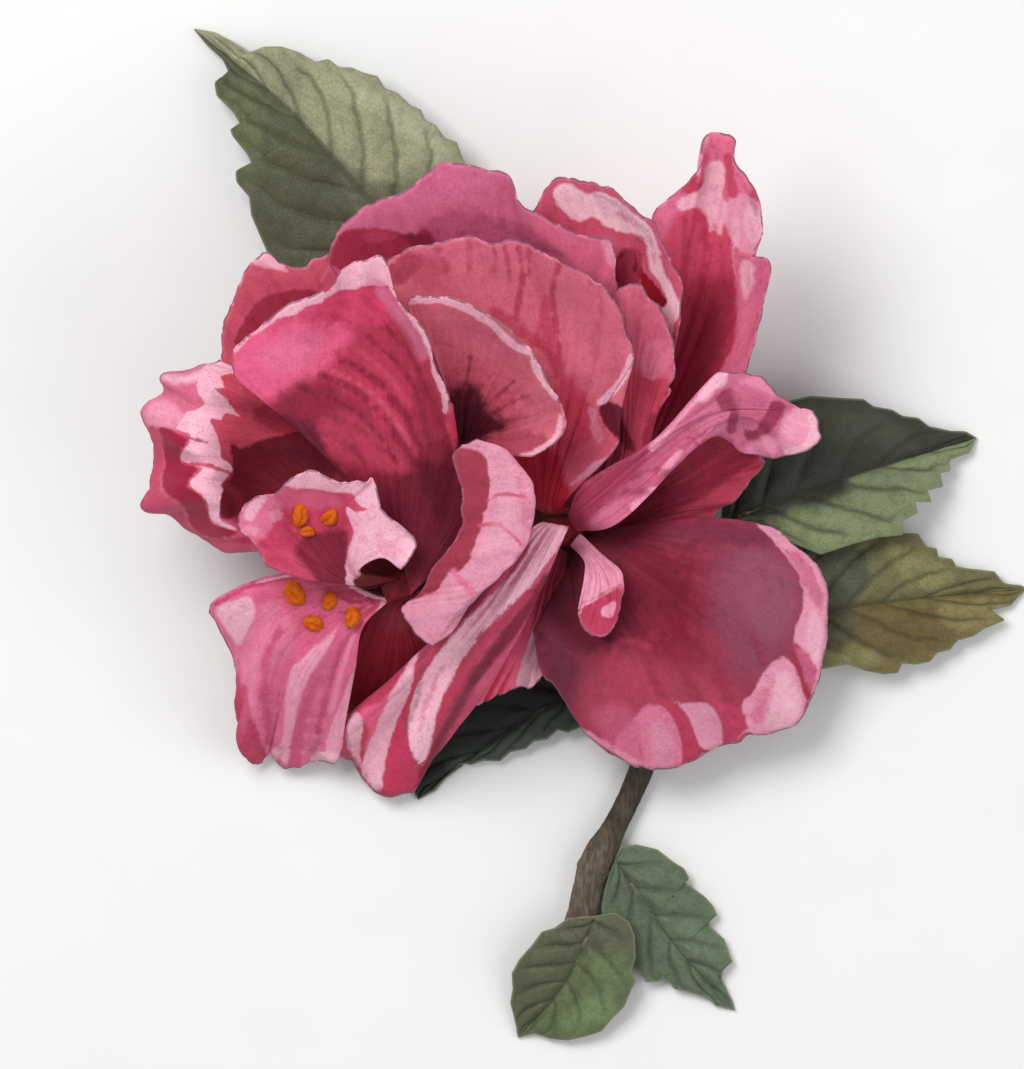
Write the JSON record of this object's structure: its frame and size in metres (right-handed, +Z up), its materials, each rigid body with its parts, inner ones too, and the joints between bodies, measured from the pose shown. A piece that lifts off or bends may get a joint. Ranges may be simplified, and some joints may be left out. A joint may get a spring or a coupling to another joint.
{
  "type": "double hibiscus bloom on a cut leafy twig",
  "caption": "Fuchsia-pink double hibiscus bloom with ruffled petals on a cut woody twig with toothed leaves, lying on its back.",
  "frame": {"origin": "middle of the bounding box at its lowest level, on the surface that the sprig lies on", "axes": "+Z up, out of the open face of the bloom; +Y along the twig, from its cut end towards the bloom and the uppermost leaf; +X to the right of the bloom"},
  "size_m": [0.1681, 0.1928, 0.0614],
  "materials": {
    "crimson_petal": "soft satin petal, deep crimson with burgundy throat",
    "rose_petal": "soft satin petal, salmon to mauve rose with pale rim",
    "pink_petal": "soft satin petal, light pink with darker streaks",
    "sage_leaf": "matt green leaf with a paler side",
    "dark_leaf": "matt dark green leaf",
    "olive_leaf": "matt olive and brown leaf",
    "bark": "rough grey-brown bark",
    "calyx_green": "matt green",
    "column_red": "smooth dark crimson"
  },
  "bodies": {
    "root": {"twig": "bark", "pedicel": "calyx_green", "epicalyx": "calyx_green", "calyx": "calyx_green", "staminal_column": "column_red", "petal_lower_right": "crimson_petal", "petal_under_right": "crimson_petal", "petal_upper_right": "crimson_petal", "petal_hood": "crimson_petal", "petal_wedge": "crimson_petal", "petal_right_folded": "rose_petal", "petal_top": "rose_petal", "petal_upper_broad": "rose_petal", "petal_inner_right": "rose_petal", "petal_left_back": "rose_petal", "petal_round": "rose_petal", "petal_crested": "pink_petal", "petal_left_wing": "pink_petal", "petal_lip": "pink_petal", "petal_pleated": "pink_petal", "petal_tuck": "pink_petal", "petal_lower_left": "pink_petal", "petaloid_curl": "pink_petal", "petaloid_anthers": "pink_petal", "leaf_top_left": "sage_leaf", "leaf_front_low": "sage_leaf", "leaf_back_low": "sage_leaf", "leaf_right_upper": "dark_leaf", "leaf_lower_left": "dark_leaf", "leaf_right_lower": "olive_leaf"}
  },
  "joints": []
}
